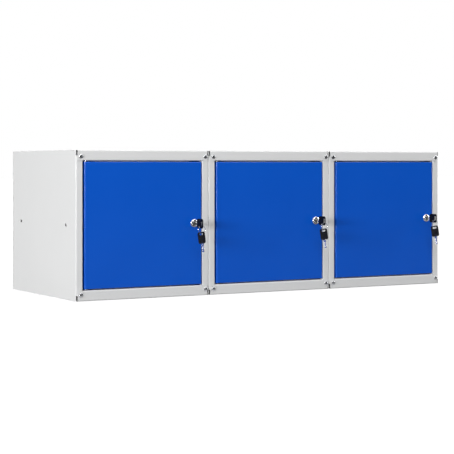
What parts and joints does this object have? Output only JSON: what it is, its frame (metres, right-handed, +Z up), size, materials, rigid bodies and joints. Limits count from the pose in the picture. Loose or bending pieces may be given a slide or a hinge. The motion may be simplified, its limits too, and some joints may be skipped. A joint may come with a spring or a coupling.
{
  "type": "cube locker",
  "caption": "Steel cube lockers bolted side by side, each with a side-hinged pan door, a cam lock, and a key with its ring and spare.",
  "frame": {"origin": "middle of the bank's base: centre of the middle cube's underside, on the floor", "axes": "+X to the right seen from the front, +Y from the doors to the back, +Z up"},
  "size_m": [1.201, 0.5078, 0.4],
  "materials": {
    "grey_paint": "light grey powder coat, satin",
    "blue_paint": "blue powder coat, satin",
    "chrome": "bright plated",
    "zinc_steel": "bright zinc plated",
    "black_plastic": "moulded, light sheen"
  },
  "bodies": {
    "carcass": {"cube_1_left_side_panel": "grey_paint", "cube_1_right_side_panel": "grey_paint", "cube_1_bottom_panel": "grey_paint", "cube_1_top_panel": "grey_paint", "cube_1_back_panel": "grey_paint", "cube_1_screw_upper_left": "zinc_steel", "cube_1_screw_lower_left": "zinc_steel", "cube_1_screw_upper_right": "zinc_steel", "cube_1_screw_lower_right": "zinc_steel", "cube_1_lower_hinge_pin": "zinc_steel", "cube_1_upper_hinge_pin": "zinc_steel", "cube_1_joining_bolt_front": "zinc_steel", "cube_1_joining_bolt_rear": "zinc_steel", "cube_2_left_side_panel": "grey_paint", "cube_2_right_side_panel": "grey_paint", "cube_2_bottom_panel": "grey_paint", "cube_2_top_panel": "grey_paint", "cube_2_back_panel": "grey_paint", "cube_2_screw_upper_left": "zinc_steel", "cube_2_screw_lower_left": "zinc_steel", "cube_2_screw_upper_right": "zinc_steel", "cube_2_screw_lower_right": "zinc_steel", "cube_2_lower_hinge_pin": "zinc_steel", "cube_2_upper_hinge_pin": "zinc_steel", "cube_2_joining_bolt_front": "zinc_steel", "cube_2_joining_bolt_rear": "zinc_steel", "cube_3_left_side_panel": "grey_paint", "cube_3_right_side_panel": "grey_paint", "cube_3_bottom_panel": "grey_paint", "cube_3_top_panel": "grey_paint", "cube_3_back_panel": "grey_paint", "cube_3_screw_upper_left": "zinc_steel", "cube_3_screw_lower_left": "zinc_steel", "cube_3_screw_upper_right": "zinc_steel", "cube_3_screw_lower_right": "zinc_steel", "cube_3_lower_hinge_pin": "zinc_steel", "cube_3_upper_hinge_pin": "zinc_steel"},
    "cube_1_door": {"cube_1_door": "blue_paint", "cube_1_lock_body": "chrome"},
    "cube_1_lock": {"cube_1_lock_plug": "chrome", "cube_1_lock_cam": "zinc_steel"},
    "cube_1_key": {"cube_1_key": "black_plastic"},
    "cube_1_ring": {"cube_1_key_ring": "chrome"},
    "cube_1_spare": {"cube_1_spare_key": "black_plastic"},
    "cube_2_door": {"cube_2_door": "blue_paint", "cube_2_lock_body": "chrome"},
    "cube_2_lock": {"cube_2_lock_plug": "chrome", "cube_2_lock_cam": "zinc_steel"},
    "cube_2_key": {"cube_2_key": "black_plastic"},
    "cube_2_ring": {"cube_2_key_ring": "chrome"},
    "cube_2_spare": {"cube_2_spare_key": "black_plastic"},
    "cube_3_door": {"cube_3_door": "blue_paint", "cube_3_lock_body": "chrome"},
    "cube_3_lock": {"cube_3_lock_plug": "chrome", "cube_3_lock_cam": "zinc_steel"},
    "cube_3_key": {"cube_3_key": "black_plastic"},
    "cube_3_ring": {"cube_3_key_ring": "chrome"},
    "cube_3_spare": {"cube_3_spare_key": "black_plastic"}
  },
  "joints": [
    {"name": "cube_1_door_hinge", "type": "hinge", "parent": "carcass", "child": "cube_1_door", "pos_m": [-0.56746, -0.2155, 0.031], "axis": [0, 0, -1], "range_deg": [0, 105]},
    {"name": "cube_1_lock_turn", "type": "hinge", "parent": "cube_1_door", "child": "cube_1_lock", "pos_m": [-0.2465, -0.2245, 0.2], "axis": [0, 1, 0], "range_deg": [0, 90]},
    {"name": "cube_1_key_slide", "type": "slide", "parent": "cube_1_lock", "child": "cube_1_key", "axis": [0, -1, 0], "range_m": [-0.01, 0.015]},
    {"name": "cube_1_ring_hang", "type": "hinge", "parent": "cube_1_key", "child": "cube_1_ring", "pos_m": [-0.2465, -0.269, 0.19], "axis": [0, 1, 0], "range_deg": [-90, 0]},
    {"name": "cube_1_spare_swing", "type": "hinge", "parent": "cube_1_ring", "child": "cube_1_spare", "pos_m": [-0.2465, -0.269, 0.1733], "axis": [-1, 0, 0], "range_deg": [-10, 50]},
    {"name": "cube_2_door_hinge", "type": "hinge", "parent": "carcass", "child": "cube_2_door", "pos_m": [-0.16696, -0.2155, 0.031], "axis": [0, 0, -1], "range_deg": [0, 105]},
    {"name": "cube_2_lock_turn", "type": "hinge", "parent": "cube_2_door", "child": "cube_2_lock", "pos_m": [0.154, -0.2245, 0.2], "axis": [0, 1, 0], "range_deg": [0, 90]},
    {"name": "cube_2_key_slide", "type": "slide", "parent": "cube_2_lock", "child": "cube_2_key", "axis": [0, -1, 0], "range_m": [-0.01, 0.015]},
    {"name": "cube_2_ring_hang", "type": "hinge", "parent": "cube_2_key", "child": "cube_2_ring", "pos_m": [0.154, -0.269, 0.19], "axis": [0, 1, 0], "range_deg": [-90, 0]},
    {"name": "cube_2_spare_swing", "type": "hinge", "parent": "cube_2_ring", "child": "cube_2_spare", "pos_m": [0.154, -0.269, 0.1733], "axis": [-1, 0, 0], "range_deg": [-10, 50]},
    {"name": "cube_3_door_hinge", "type": "hinge", "parent": "carcass", "child": "cube_3_door", "pos_m": [0.23354, -0.2155, 0.031], "axis": [0, 0, -1], "range_deg": [0, 105]},
    {"name": "cube_3_lock_turn", "type": "hinge", "parent": "cube_3_door", "child": "cube_3_lock", "pos_m": [0.5545, -0.2245, 0.2], "axis": [0, 1, 0], "range_deg": [0, 90]},
    {"name": "cube_3_key_slide", "type": "slide", "parent": "cube_3_lock", "child": "cube_3_key", "axis": [0, -1, 0], "range_m": [-0.01, 0.015]},
    {"name": "cube_3_ring_hang", "type": "hinge", "parent": "cube_3_key", "child": "cube_3_ring", "pos_m": [0.5545, -0.269, 0.19], "axis": [0, 1, 0], "range_deg": [-90, 0]},
    {"name": "cube_3_spare_swing", "type": "hinge", "parent": "cube_3_ring", "child": "cube_3_spare", "pos_m": [0.5545, -0.269, 0.1733], "axis": [-1, 0, 0], "range_deg": [-10, 50]}
  ],
  "couplings": [
    {"joint": "cube_1_ring_hang", "follows": "cube_1_lock_turn", "ratio": -1},
    {"joint": "cube_2_ring_hang", "follows": "cube_2_lock_turn", "ratio": -1},
    {"joint": "cube_3_ring_hang", "follows": "cube_3_lock_turn", "ratio": -1}
  ]
}
